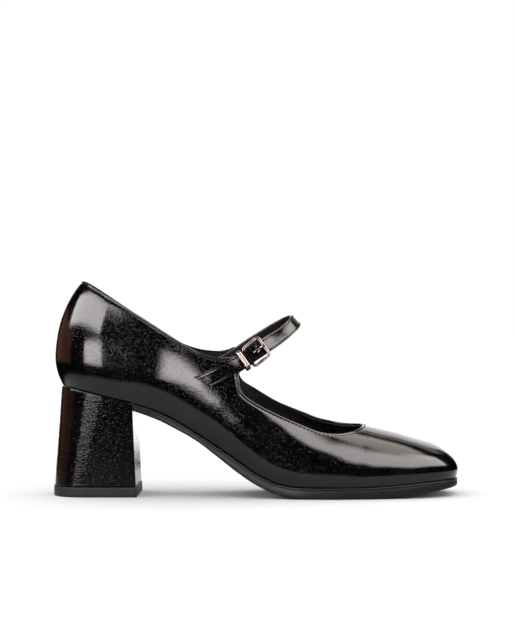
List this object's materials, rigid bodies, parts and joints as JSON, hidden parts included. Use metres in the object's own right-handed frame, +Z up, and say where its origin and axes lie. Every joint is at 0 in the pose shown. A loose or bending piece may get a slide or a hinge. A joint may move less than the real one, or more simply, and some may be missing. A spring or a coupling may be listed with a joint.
{
  "type": "mary jane shoe",
  "caption": "Right women's mary jane shoe with a hollow patent leather upper, soft square toe, covered block heel and buckled instep strap.",
  "frame": {"origin": "middle of the shoe's box at floor height, under the waist of the sole", "axes": "+X to the toe, +Y to the medial side of the right foot, +Z up from the floor"},
  "size_m": [0.2378, 0.0774, 0.1258],
  "materials": {
    "patent_leather": "black crinkled patent, high gloss",
    "heel_cover": "black crinkled patent with a coarser wavy grain",
    "lining_leather": "matt dark brown-black lining",
    "sole_rubber": "satin black moulded rubber",
    "lift_rubber": "matt dark grey rubber",
    "nickel": "polished pale nickel"
  },
  "bodies": {
    "root": {"upper": "patent_leather", "outsole": "sole_rubber", "insole": "lining_leather", "heel_block": "heel_cover", "top_lift": "lift_rubber", "strap": "patent_leather", "buckle_tab": "patent_leather", "buckle_frame": "nickel", "buckle_prong": "nickel", "keeper": "nickel"}
  },
  "joints": []
}
